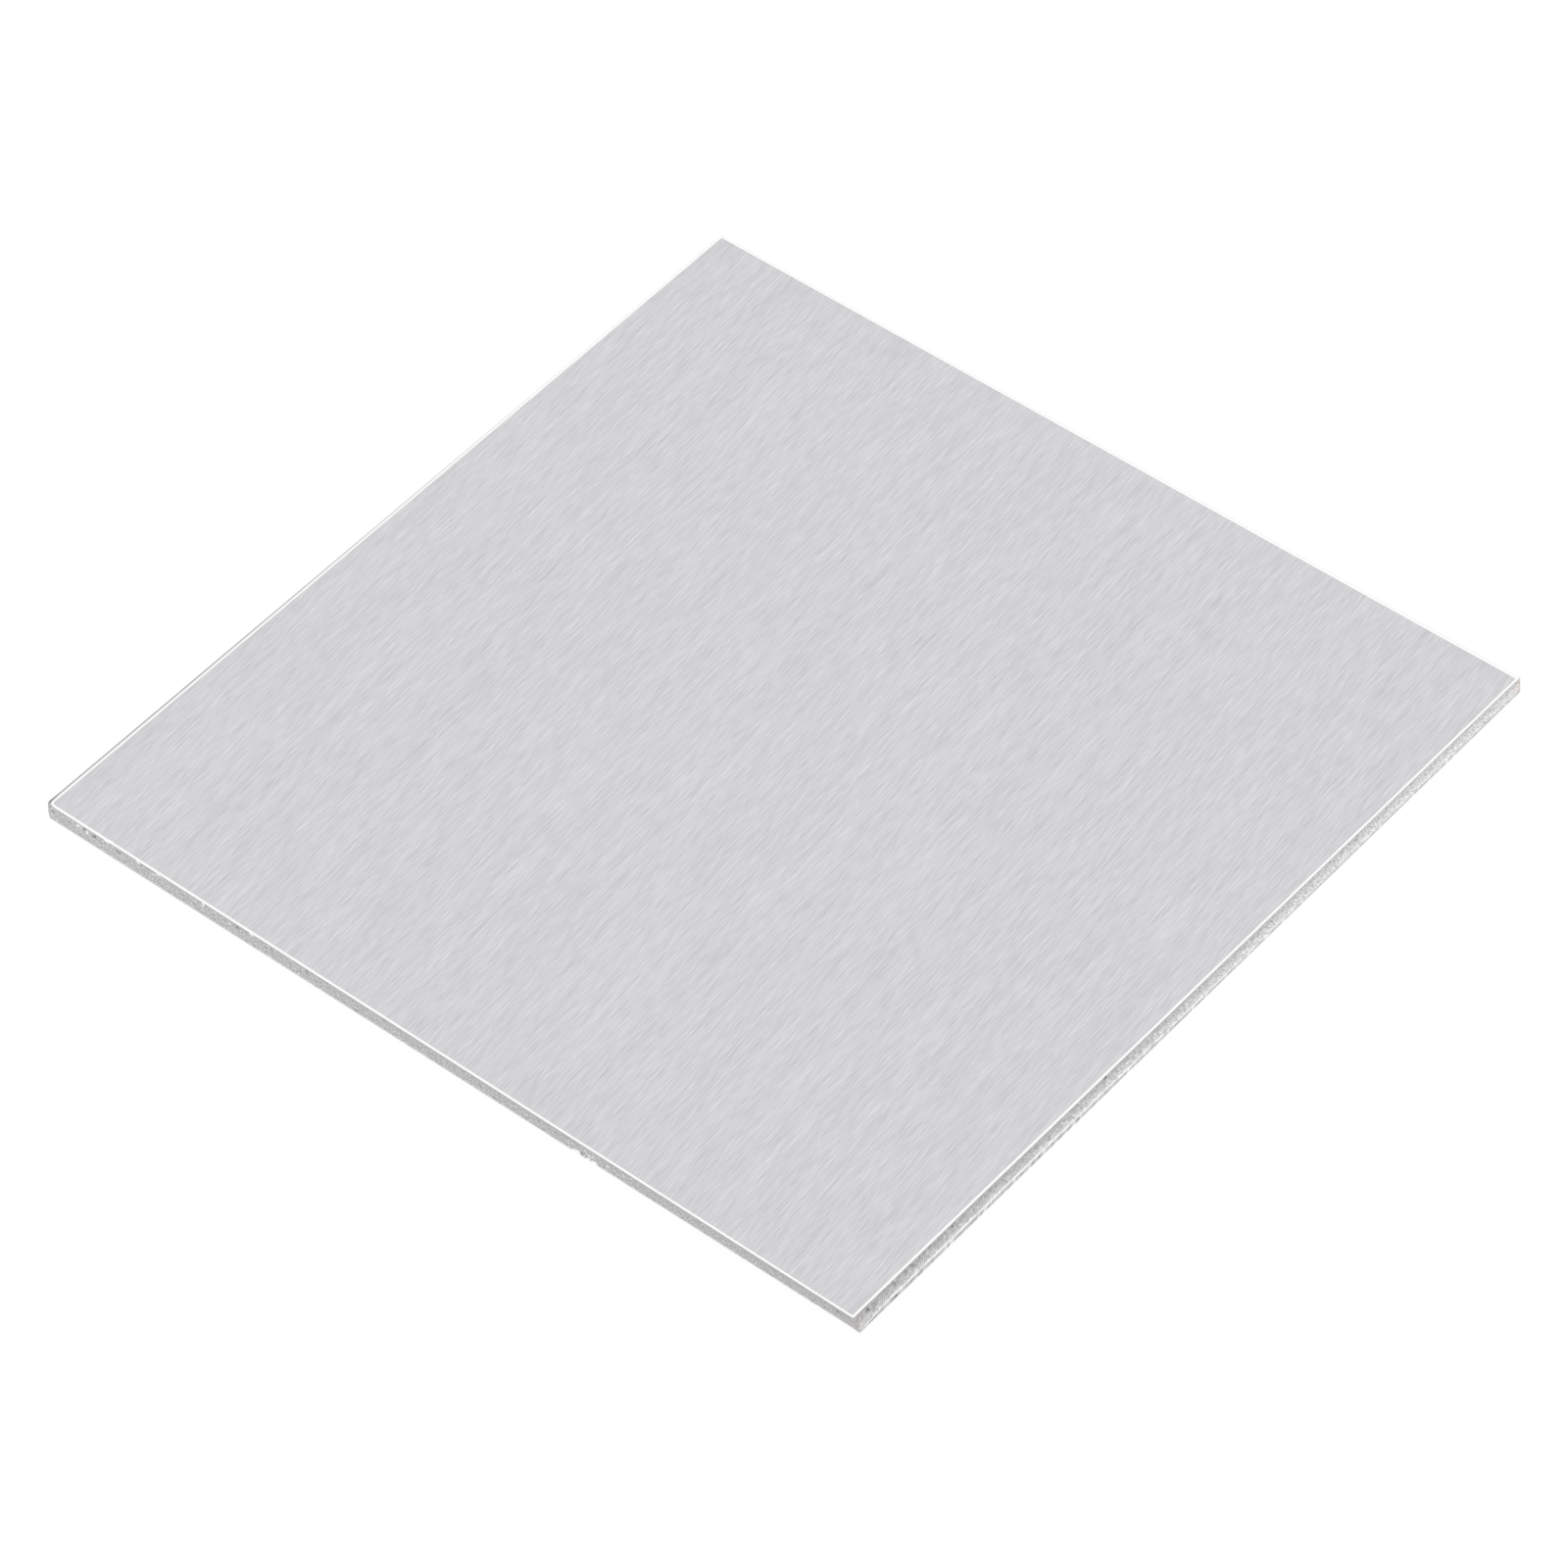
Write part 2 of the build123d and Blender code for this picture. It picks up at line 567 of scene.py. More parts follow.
@dataclass(frozen=True)
class TornFinish:
    """The torn face of the cut: dull and grainy with slanting tears, and lighter toward a high ledge."""

    front_start: Colour = (0.464, 0.460, 0.460)
    front_end: Colour = (0.664, 0.658, 0.658)
    left_start: Colour = (0.590, 0.586, 0.586)
    left_end: Colour = (0.515, 0.509, 0.509)
    bright: Colour = (0.95, 0.95, 0.95)
    pit: Colour = (0.16, 0.16, 0.165)
    light_from: float = 2.4 * MM
    light_to: float = 1.2 * MM
    light_gain: float = 0.38
    grain_size: float = 0.17 * MM
    grain_contrast: float = 0.8
    blotch_size: float = 0.65 * MM
    blotch_contrast: float = 0.9
    tear_width: float = 0.13 * MM
    tear_length: float = 0.9 * MM
    tear_turn: float = math.radians(52.0)
    tear_contrast: float = 1.6
    stain: Colour = (1.0, 0.94, 0.92)
    stain_front: float = 0.4
    pit_share: float = 0.4
    spark_share: float = 0.5
    depth: float = 0.02 * MM
    roughness: float = 0.62

    def material(self, kit: ShaderKit) -> Material:
        """Builds the material.

        Args:
            kit: The shared groups.

        Returns:
            The material.
        """
        draft = FinishDraft("torn_face", kit)
        w = draft.wiring
        progress = draft.progress()
        to_right = w.ramp(progress, 0.0, 1.0)
        landed = w.ramp(progress, -0.001, 0.001)
        front = draft.mixed(to_right, self.front_start, self.front_end)
        left = draft.mixed(w.ramp(progress, 0.0, -1.0), self.left_end, self.left_start)
        base = draft.mixed(landed, left, front)
        _, height, _ = w.split(draft.edge)
        low = w.ramp(height, self.light_from, self.light_to)
        left_share = w.ramp(progress, -0.8, -0.1, 0.0, 0.18)
        share = w.blend(landed, left_share, w.ramp(to_right, 0.0, 1.0, 1.0, 0.45))
        base = draft.shade(base, w.total(w.product(low, share), 0.5), self.light_gain)
        at_front = w.ramp(w.math("ABSOLUTE", progress), 0.012, 0.003, 0.0, self.stain_front)
        stained = w.math("MAXIMUM", at_front, w.ramp(progress, 0.985, 0.995))
        stain = draft.mixed(stained, WHITE, self.stain)
        base = w.vector_math("MULTIPLY", base, stain)

        grains = draft.grains(self.grain_size, 6.0)
        blotches = draft.grains(self.blotch_size, 12.0)
        leaning_right = draft.lines(draft.edge, self.tear_turn, self.tear_width, self.tear_length, 7.0)
        leaning_left = draft.lines(draft.edge, -self.tear_turn, self.tear_width, self.tear_length, 8.0)
        tears = w.blend(w.ramp(progress, *TEARS_TURN), leaning_right, leaning_left)
        rough = w.blend(landed, 0.35, w.ramp(to_right, 0.0, 1.0, 1.0, 0.7))
        colour = draft.shade(base, grains["Level"], w.product(rough, self.grain_contrast))
        colour = draft.shade(colour, blotches["Level"], w.product(rough, self.blotch_contrast))
        colour = draft.shade(colour, tears, self.tear_contrast)
        pits = w.math("MAXIMUM", w.product(blotches["Pits"], self.pit_share), draft.attribute(PITTED))
        colour = draft.mixed(pits, colour, self.pit)
        spark = w.product(grains["Sparks"], self.spark_share)
        colour = draft.mixed(w.math("MAXIMUM", spark, draft.attribute(FRESH)), colour, self.bright)
        draft.bump(w.total(grains["Level"], tears), self.depth)
        return draft.done(colour, self.roughness)


@dataclass(frozen=True)
class LandFinish:
    """The land that the blade rubbed smooth: scored up and down, with dark drag marks on the high ones."""

    high_start: Colour = (0.54, 0.536, 0.54)
    high_end: Colour = (0.60, 0.597, 0.60)
    low_start: Colour = (0.60, 0.597, 0.60)
    low_end: Colour = (0.76, 0.757, 0.76)
    bright: Colour = (0.95, 0.95, 0.95)
    dark: Colour = (0.42, 0.41, 0.415)
    pit: Colour = (0.16, 0.16, 0.165)
    score_width: float = 0.12 * MM
    score_length: float = 1.2 * MM
    mark_width: float = 0.85 * MM
    mark_length: float = 4.0 * MM
    mark_turn: float = math.radians(76.0)
    dark_levels: tuple[float, float] = (0.50, 0.60)
    dark_share: float = 0.9
    bright_levels: tuple[float, float] = (0.42, 0.34)
    bright_share: float = 0.7
    contrast: float = 0.9
    roughness: float = 0.38

    def material(self, kit: ShaderKit) -> Material:
        """Builds the material.

        Args:
            kit: The shared groups.

        Returns:
            The material.
        """
        draft = FinishDraft("rubbed_land", kit)
        w = draft.wiring
        progress = draft.progress()
        scores = draft.lines(draft.edge, self.mark_turn, self.score_width, self.score_length, 9.0)
        marks = draft.lines(draft.edge, self.mark_turn, self.mark_width, self.mark_length, 10.0)
        landed = w.ramp(progress, -0.01, 0.01)
        low = draft.mixed(w.ramp(progress, -1.0, 0.0), self.low_start, self.low_end)
        high = draft.mixed(w.ramp(progress, 0.0, 0.35), self.high_start, self.high_end)
        colour = draft.mixed(landed, low, high)
        dark_here = (w.ramp(landed, 0.0, 1.0, 0.2, 1.0), w.ramp(progress, 0.30, 0.42, 1.0, 0.5))
        dark = w.product(w.ramp(marks, *self.dark_levels, 0.0, self.dark_share), *dark_here)
        bright_here = (w.ramp(progress, 0.0, 0.15, 0.15, 1.0), w.ramp(landed, 0.0, 1.0, 0.5, 0.0))
        bright = w.ramp(marks, *self.bright_levels, 0.0, self.bright_share)
        bright = w.product(bright, w.math("MAXIMUM", *bright_here))
        colour = draft.mixed(dark, colour, self.dark)
        colour = draft.mixed(bright, colour, self.bright)
        colour = draft.shade(colour, scores, self.contrast)
        colour = draft.mixed(draft.attribute(PITTED), colour, self.pit)
        return draft.done(draft.mixed(draft.attribute(FRESH), colour, self.bright), self.roughness)


@dataclass(frozen=True)
class MillFinish:
    """The bottom face as the rolling mill left it: smooth, with faint long roll lines."""

    colour: Colour = (0.66, 0.66, 0.672)
    line_width: float = 0.5 * MM
    line_length: float = 40.0 * MM
    contrast: float = 0.10
    roughness: tuple[float, float] = (0.30, 0.38)

    def material(self, kit: ShaderKit) -> Material:
        """Builds the material.

        Args:
            kit: The shared groups.

        Returns:
            The material.
        """
        draft = FinishDraft("mill_face", kit)
        w = draft.wiring
        rolled = draft.lines(draft.place, 0.0, self.line_width, self.line_length, 11.0)
        roughness = w.ramp(rolled, *NOISE_SPAN, *self.roughness)
        return draft.done(draft.shade(self.colour, rolled, self.contrast), roughness)


class Zone(Enum):
    """The bands of the section, from the brushed face round to the bottom one: name and rows of faces."""

    FACET = ("facet", 3)
    ROUND = ("round", 4)
    TORN = ("torn", 11)
    LEDGE = ("ledge", 2)
    LAND = ("land", 4)
    ROLLOVER = ("rollover", 5)

    @property
    def rows(self) -> int:
        """Gives the number of rows in the band."""
        return self.value[1]

    @property
    def end(self) -> float:
        """Gives the row where the band ends, counted from the brushed face."""
        zones = list(Zone)
        return float(sum(zone.rows for zone in zones[: zones.index(self) + 1]))

    @property
    def start(self) -> float:
        """Gives the row where the band starts."""
        return self.end - self.rows


@dataclass(frozen=True)
class Stroke:
    """One of the four cuts: how far its foot and its rim are in from the outline, and its facet's width."""

    name: str
    foot: float
    rim_start: float
    rim_end: float
    width_start: float
    width_end: float


@dataclass(frozen=True)
class Mark:
    """One chip or pit in a cut face, in millimetres along the edge from the front left corner and up it."""

    along: float
    height: float
    width: float
    tall: float
    bright: bool
    lean: float = 0.6


@dataclass
class CutSheet:
    """The sheet itself: one closed mesh from a tree of geometry nodes, dressed zone by zone.

    The cuts go round it from its front left corner: front, right, back and left. The front and right ones
    have a high land at their foot. Each plain number here is an input of the tree.
    """

    low: Vector
    high: Vector
    kit: ShaderKit
    strokes: tuple[Stroke, ...] = (
        Stroke("Front", 0.0, 0.89 * MM, 0.18 * MM, 0.32 * MM, 0.38 * MM),
        Stroke("Right", 0.0, 0.20 * MM, 0.52 * MM, 0.65 * MM, 0.46 * MM),
        Stroke("Back", 0.45 * MM, 0.0, 0.0, 0.54 * MM, 0.82 * MM),
        Stroke("Left", 0.38 * MM, 0.50 * MM, 0.0, 0.44 * MM, 0.40 * MM),
    )
    marks: tuple[Mark, ...] = (
        Mark(2.5, 2.15, 0.5, 0.4, False),
        Mark(7.6, 0.55, 0.6, 0.5, False),
        Mark(20.7, 2.45, 0.5, 0.4, False),
        Mark(54.1, 2.60, 0.6, 0.4, False),
        Mark(451.0, 2.05, 0.5, 0.4, False),
        Mark(454.2, 1.90, 0.6, 0.4, False),
        Mark(456.0, 2.25, 0.7, 0.7, True),
        Mark(456.6, 2.55, 0.7, 0.4, True),
        Mark(457.3, 2.50, 0.5, 0.4, False),
        Mark(457.7, 2.10, 0.6, 1.2, True, 0.2),
        Mark(459.2, 2.20, 1.0, 0.5, False),
        Mark(461.7, 2.82, 1.6, 0.45, True, 0.0),
        Mark(464.0, 2.20, 0.9, 0.3, False),
        Mark(467.9, 2.74, 0.9, 0.5, True, 0.0),
        Mark(468.5, 2.60, 0.8, 0.4, False),
        Mark(469.8, 2.65, 0.5, 0.4, False),
        Mark(470.7, 2.15, 0.6, 0.5, True),
        Mark(471.8, 2.75, 0.9, 0.4, True),
        Mark(480.2, 2.10, 0.6, 0.5, True),
        Mark(480.5, 2.55, 0.6, 0.8, True, 0.4),
        Mark(485.5, 2.00, 0.5, 0.5, True),
        Mark(487.1, 2.35, 0.8, 0.4, False),
        Mark(489.9, 2.74, 0.9, 0.5, True, 0.0),
        Mark(540.9, 1.50, 0.6, 0.5, True),
        Mark(548.6, 1.30, 0.6, 0.5, True),
        Mark(549.7, 0.30, 1.5, 1.0, True, 0.5),
        Mark(550.1, 0.60, 0.8, 0.8, True, -0.4),
        Mark(550.8, 0.70, 0.5, 0.5, False),
        Mark(551.9, 1.65, 0.5, 0.9, True, -0.6),
        Mark(552.4, 1.15, 0.7, 0.6, True, -0.3),
        Mark(553.2, 1.45, 0.8, 0.4, True, 0.9),
        Mark(551.8, 0.30, 0.8, 0.8, True, 0.8),
        Mark(552.9, 0.30, 1.2, 0.9, True, 0.8),
        Mark(555.9, 1.55, 0.7, 0.6, True, 0.8),
        Mark(558.8, 1.80, 0.6, 0.5, True),
    )
    columns_per_side: int = 730
    high_land_top: float = 1.3 * MM
    low_land_top: float = 0.4 * MM
    rollover_radius: float = 0.25 * MM
    rim_drop: float = 0.08 * MM
    rim_round: float = 0.10 * MM
    ledge_step: float = 0.14 * MM
    ledge_lip: float = 0.06 * MM
    ledge_wave: float = 0.28 * MM
    ledge_fall: float = 0.46 * MM
    wave_length: float = 7.5 * MM
    gap_length: float = 3.0 * MM
    tear_relief: float = 0.07 * MM
    tear_size: float = 0.55 * MM
    chip_depth: float = 0.14 * MM
    chip_size: float = 0.7 * MM
    mark_depth: float = 0.12 * MM
    ragged_size: float = 0.3 * MM
    corner_calm: float = 1.4 * MM
    left_knock: float = 0.65 * MM
    right_knock: float = 0.5 * MM
    knock_foot: float = 1.4 * MM
    knock_top: float = 2.9 * MM
    seed: int = 3

    def sizes(self) -> dict[str, float | int]:
        """Gives the tree's inputs: the sheet's box, every plain number and each stroke's numbers.

        Returns:
            Their values by name.
        """
        sizes = {"Length": 2 * self.high.x, "Width": -2 * self.low.y, "Thickness": self.high.z - self.low.z}
        for owner, prefix in ((self, ""), *((stroke, f"{stroke.name} ") for stroke in self.strokes)):
            for size in fields(owner):
                if size.type in (float, int):
                    sizes[prefix + size.name.replace("_", " ").title()] = getattr(owner, size.name)
        return sizes

    def finishes(self) -> dict[str, Material]:
        """Makes the material of each zone.

        Returns:
            The materials by zone name.
        """
        made = {
            "brushed": BrushedFinish(),
            "facet": FacetFinish(),
            "rim": RimFinish(),
            "torn": TornFinish(),
            "land": LandFinish(),
            "mill": MillFinish(),
        }
        return {name: finish.material(self.kit) for name, finish in made.items()}

    def build(self) -> Object:
        """Makes the sheet.

        Returns:
            The finished piece, as a plain mesh.
        """
        maker = bpy.data.objects.new("sheet_maker", bpy.data.meshes.new("sheet_maker"))
        bpy.context.scene.collection.objects.link(maker)
        modifier = maker.modifiers.new("Cut Sheet", "NODES")
        modifier.node_group = CutTree(self).wired(self.finishes())
        sizes = self.sizes()
        for item in modifier.node_group.interface.items_tree:
            if item.item_type == "SOCKET" and item.in_out == "INPUT":
                modifier[item.identifier] = sizes[item.name]
        depsgraph = bpy.context.evaluated_depsgraph_get()
        mesh = bpy.data.meshes.new_from_object(
            maker.evaluated_get(depsgraph), preserve_all_data_layers=True, depsgraph=depsgraph
        )
        bpy.data.objects.remove(maker)
        mesh.attributes.remove(mesh.attributes[ROW])
        for index in reversed(range(len(mesh.materials))):
            if mesh.materials[index] is None:
                mesh.materials.pop(index=index)
        mesh.name = "cut_sheet"
        piece = bpy.data.objects.new("cut_sheet", mesh)
        bpy.context.scene.collection.objects.link(piece)
        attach(piece, BODY)
        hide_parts(NODE)
        return piece


class CutTree:
    """The tree of geometry nodes that wraps a band of faces round the sheet, closes it and dresses it.

    Every place on the band has its row, its turns, which go from 0 to 4 round the corners from the front
    left one, and its progress, which is 1 at the right corner, -1 at the left one and 0 at the other two.
    """

    # Levels of the patterns
    wave_levels = (0.27, 0.73)
    gap_levels = (0.38, 0.56)
    chip_gates = (0.72, 0.62)
    chip_edge = 0.06

    turn_slack = 0.0005
    tip_share = 0.25

    # Stretches of progress
    land_rise = (0.0, 0.035)
    ledge_start = (0.002, 0.007)
    ledge_fade = (0.30, 0.95)
    ledge_breaks = (0.30, 0.40)
    ledge_falls = (0.2, 0.65)
    chips_grow = (-0.75, -1.0)
    left_tip = (-0.97, -0.98)
    right_tip = (0.97, 0.98)

    def __init__(self, sheet: CutSheet) -> None:
        """Makes the tree with its inputs, and the levels that several of its parts read.

        Args:
            sheet: The sheet that it makes.
        """
        self.sheet = sheet
        outputs = {"Geometry": "NodeSocketGeometry"}
        self.draft = GroupDraft("Cut Sheet", "GeometryNodeTree", sheet.sizes(), outputs)
        self.w = self.draft.wiring
        self.given = self.draft.given
        w, given = self.w, self.given
        x, y, _ = w.split(w.node("GeometryNodeInputPosition").outputs[0])
        self.turns = w.total(x, 2.0)
        self.row = w.total(y, Zone.ROLLOVER.end / 2)
        self.units = [self._unit(middle) for middle in (3.0, 5.0)]
        self.progress = w.product(w.math("SUBTRACT", *self.units), 0.5)
        side = w.product(w.total(given["Length"], given["Width"]), 0.5)
        self.along = w.product(self.turns, side)
        self.off_corner = w.product(w.math("PINGPONG", self.turns, 0.5), side)
        self.calm = w.ramp(self.off_corner, 0.0, given["Corner Calm"], soft=True)

    def _unit(self, middle: float) -> NodeSocket:
        """Builds X or Y of the square outline, from -1 to 1. It is 1 around the given turns, doubled."""
        off = self.w.math("ABSOLUTE", self.w.math("SUBTRACT", self.w.product(self.turns, 2.0), middle))
        return self.w.ramp(self.w.math("SUBTRACT", 2.0, off), -1.0, 1.0, -1.0, 1.0)

    def wired(self, finishes: dict[str, Material]) -> NodeTree:
        """Wires the whole tree.

        Args:
            finishes: The materials by zone name.

        Returns:
            The finished tree.
        """
        w = self.w
        ledge_height, ledge_strength = self._ledge()
        insets, height = self._cuts(ledge_height, ledge_strength)
        relief, fresh_chip, pitted = self._relief(height)
        over = w.ramp(self.row, Zone.LEDGE.start - 0.4, Zone.LEDGE.start + 0.2)
        under = w.ramp(self.row, Zone.LEDGE.end, Zone.LEDGE.end + 0.3, 1.0, 0.0)
        fresh = w.math("MAXIMUM", w.product(over, under, ledge_strength), fresh_chip)

        columns = w.total(w.product(self.given["Columns Per Side"], 4.0), 1.0)
        rows = Zone.ROLLOVER.end
        feeds = {"Size X": 4.0, "Size Y": rows, "Vertices X": columns, "Vertices Y": int(rows) + 1}
        grid = w.node("GeometryNodeMeshGrid", feeds).outputs[0]
        band = w.node("GeometryNodeFlipFaces", {"Mesh": grid}).outputs[0]
        for name, value in ((ROW, self.row), (FRESH, fresh), (PITTED, pitted)):
            band = self._store(band, name, value)
        band = self._store(band, EDGE_MAP, w.vector(self.along, height, 0.0), "FLOAT2", "CORNER")
        place = self._place(insets, relief, height)
        band = w.node("GeometryNodeSetPosition", {"Geometry": band, "Position": place}).outputs[0]
        band = w.node("GeometryNodeMergeByDistance", {"Geometry": band, "Distance": WELD}).outputs[0]
        whole = self._creases(self._caps(band))
        whole = w.node("GeometryNodeRealizeInstances", {"Geometry": whole}).outputs[0]
        return self.draft.close({"Geometry": self._dress(whole, finishes)})

    @staticmethod
    def _run_group() -> NodeTree:
        """Builds a straight run of the section: its share of the step between two places, by its two rows.

        Returns:
            The group.
        """
        inputs = {"Row": 0.0, "First Row": 0.0, "Last Row": 0.0, "From": VECTOR, "To": VECTOR}
        draft = GroupDraft("Section Run", "GeometryNodeTree", inputs, {"Step": VECTOR})
        w, given = draft.wiring, draft.given
        share = w.ramp(given["Row"], given["First Row"], given["Last Row"])
        step = w.vector_math("SUBTRACT", given["To"], given["From"])
        part = w.vector_math("MULTIPLY", step, w.vector(share, share, share))
        return draft.close({"Step": part})

    @staticmethod
    def _bend_group() -> NodeTree:
        """Builds a round run of the section: its normal turns from one angle to another between two rows.

        Returns:
            The group.
        """
        names = ("Row", "First Row", "Last Row", "Radius", "From Angle", "To Angle")
        draft = GroupDraft("Section Bend", "GeometryNodeTree", dict.fromkeys(names, 0.0), {"Step": VECTOR})
        w, given = draft.wiring, draft.given
        first, last = given["From Angle"], given["To Angle"]
        angle = w.ramp(given["Row"], given["First Row"], given["Last Row"], first, last)
        out = w.math("SUBTRACT", w.math("SINE", angle), w.math("SINE", first))
        up = w.math("SUBTRACT", w.math("COSINE", angle), w.math("COSINE", first))
        inward = w.product(out, given["Radius"], -1.0)
        return draft.close({"Step": w.vector(inward, 0.0, w.product(up, given["Radius"]))})

    def _section_group(self) -> NodeTree:
        """Builds the section of a cut, run by run from the brushed face's border to the bottom face's.

        Returns:
            The group. Its place is an inset and a height.
        """
        own = ("Row", "Land Top", "Foot", "Rim", "Rim Width", "Ledge Height", "Ledge Step")
        names = SECTION_SHARED + own
        draft = GroupDraft("Cut Section", "GeometryNodeTree", dict.fromkeys(names, 0.0), {"Place": VECTOR})
        w, given = draft.wiring, draft.given
        run, bend = self._run_group(), self._bend_group()

        back = w.math("SUBTRACT", given["Rim"], given["Foot"])
        rise = w.math("SUBTRACT", given["Thickness"], given["Land Top"])
        lean = w.math("ARCTAN2", back, rise)
        slope = w.math("DIVIDE", back, rise)
        corner_inset = w.math("SUBTRACT", given["Rim"], w.product(slope, given["Rim Drop"]))
        corner_height = w.math("SUBTRACT", given["Thickness"], given["Rim Drop"])
        border_inset = w.total(given["Rim"], given["Rim Width"])
        tilt = w.math("ARCTAN2", given["Rim Drop"], w.math("SUBTRACT", border_inset, corner_inset))
        round_end = w.math("SUBTRACT", math.pi / 2, lean)
        half_turn = w.product(w.math("SUBTRACT", round_end, tilt), 0.5)
        reach = w.product(given["Rim Round"], w.math("TANGENT", half_turn))

        border = w.vector(border_inset, 0.0, given["Thickness"])
        facet_foot = w.vector(
            w.total(corner_inset, w.product(reach, w.math("COSINE", tilt))),
            0.0,
            w.total(corner_height, w.product(reach, w.math("SINE", tilt))),
        )
        torn_top = w.vector(
            w.math("SUBTRACT", corner_inset, w.product(reach, w.math("SINE", lean))),
            0.0,
            w.math("SUBTRACT", corner_height, w.product(reach, w.math("COSINE", lean))),
        )
        lip_inset = w.total(given["Foot"], given["Ledge Step"])
        lip = w.vector(lip_inset, 0.0, w.total(given["Ledge Height"], given["Ledge Lip"]))
        land_top = w.vector(given["Foot"], 0.0, given["Ledge Height"])
        land_foot = w.vector(given["Foot"], 0.0, given["Rollover Radius"])

        small = {"Radius": given["Rim Round"], "From Angle": tilt, "To Angle": round_end}
        large = {"Radius": given["Rollover Radius"], "From Angle": math.pi / 2, "To Angle": math.pi}
        plan = [
            (Zone.FACET, run, {"From": border, "To": facet_foot}),
            (Zone.ROUND, bend, small),
            (Zone.TORN, run, {"From": torn_top, "To": lip}),
            (Zone.LEDGE, run, {"From": lip, "To": land_top}),
            (Zone.LAND, run, {"From": land_top, "To": land_foot}),
            (Zone.ROLLOVER, bend, large),
        ]
        place = border
        for zone, group, feeds in plan:
            ends = {"Row": given["Row"], "First Row": zone.start, "Last Row": zone.end}
            place = w.vector_math("ADD", place, w.group(group, {**ends, **feeds})["Step"])
        return draft.close({"Place": place})

    def _cuts(self, ledge_height: Feed, ledge_strength: Feed) -> tuple[list[Feed], Feed]:
        """Builds the section of each of the four cuts at every column.

        Args:
            ledge_height: Where the land ends.
            ledge_strength: How plain the ledge is.

        Returns:
            The four insets, and the height, which is that of the column's own cut.
        """
        w, given = self.w, self.given
        section = self._section_group()
        feeds = {name: given[name] for name in SECTION_SHARED}
        feeds |= {
            "Row": self.row,
            "Ledge Height": ledge_height,
            "Ledge Step": w.product(ledge_strength, given["Ledge Step"]),
        }
        ways = zip(self.units * 2, (1.0, 1.0, -1.0, -1.0), ("High", "High", "Low", "Low"))
        insets, heights = [], []
        for stroke, (unit, way, land) in zip(self.sheet.strokes, ways):
            run = w.product(unit, way)
            rim, width = (
                w.ramp(run, -1.0, 1.0, *(given[f"{stroke.name} {size} {end}"] for end in ("Start", "End")))
                for size in ("Rim", "Width")
            )
            own = {
                "Land Top": given[f"{land} Land Top"],
                "Foot": given[f"{stroke.name} Foot"],
                "Rim": rim,
                "Rim Width": width,
            }
            inset, _, height = w.split(w.group(section, {**feeds, **own})["Place"])
            insets.append(inset)
            heights.append(height)
        height = heights[0]
        for number, other in enumerate(heights[1:] + heights[:1], 1):
            reached = w.math("GREATER_THAN", self.turns, number - self.turn_slack)
            height = w.blend(reached, height, other)
        return insets, height

    def _place(self, insets: list[Feed], relief: Feed, height: Feed) -> NodeSocket:
        """Builds every point's place in the sheet.

        Args:
            insets: How far the front, right, back and left cuts are in at its column and row.
            relief: How far the relief goes in.
            height: The height, in metres.

        Returns:
            The place's socket.
        """
        w = self.w
        front, right, back, left = (w.total(inset, relief) for inset in insets)
        half_length = w.product(self.given["Length"], 0.5)
        half_width = w.product(self.given["Width"], 0.5)
        x_ends = (w.math("SUBTRACT", left, half_length), w.math("SUBTRACT", half_length, right))
        y_ends = (w.math("SUBTRACT", front, half_width), w.math("SUBTRACT", half_width, back))
        knock = self._knock(height)
        x, y = (
            w.math("SUBTRACT", w.ramp(unit, -1.0, 1.0, *ends), w.product(unit, knock))
            for unit, ends in zip(self.units, (x_ends, y_ends))
        )
        return w.vector(x, y, height)

    def _knock(self, height: Feed) -> NodeSocket:
        """Builds the small rounds to which the left and right corners are worn, the left one at its top.

        Args:
            height: The height, in metres.

        Returns:
            How far the surface goes in along both sides.
        """
        w, given = self.w, self.given
        upper = w.ramp(height, given["Knock Foot"], given["Knock Top"])
        lower = w.ramp(upper, 0.0, 1.0, 1.0, 0.1)
        left = w.product(w.ramp(self.progress, *self.left_tip), upper, given["Left Knock"])
        right = w.product(w.ramp(self.progress, *self.right_tip), lower, given["Right Knock"])
        size = w.total(left, right, NOT_ZERO)
        near = w.ramp(self.off_corner, 0.0, size, 1.0, 0.0)
        return w.product(near, near, size, self.tip_share)

    def _ledge(self) -> tuple[Feed, Feed]:
        """Builds the wavy ledge between tear and land: high on the front and right sides, low on the others.

        Returns:
            The ledge's height, and how plain it is, from 0 to 1.
        """
        w, given, progress = self.w, self.given, self.progress
        high = w.ramp(progress, *self.land_rise, soft=True)
        top = w.ramp(high, 0.0, 1.0, given["Low Land Top"], given["High Land Top"])
        spot = w.vector(w.math("DIVIDE", self.along, given["Wave Length"]), 0.0, given["Seed"])
        slow = w.noise(spot, 1.0, detail=1.5)
        share = w.ramp(high, 0.0, 1.0, 0.3, 1.0)
        swing = w.product(w.ramp(slow, *self.wave_levels), given["Ledge Wave"], share, self.calm)
        fall = w.product(w.ramp(progress, *self.ledge_falls, soft=True), given["Ledge Fall"])

        fade = w.ramp(progress, *self.ledge_fade, 1.0, 0.30, soft=True)
        plain = w.math("MINIMUM", fade, w.ramp(progress, *self.ledge_start, 0.25, 0.9))
        gaps = w.noise(w.vector(w.math("DIVIDE", self.along, given["Gap Length"]), 7.0, 0.0), 1.0)
        lowest = w.ramp(progress, *self.ledge_breaks, 0.55, 0.05)
        broken = w.ramp(gaps, *self.gap_levels, lowest, 0.95)
        lowered = w.math("SUBTRACT", w.math("SUBTRACT", top, swing), fall)
        return lowered, w.product(plain, broken, self.calm)

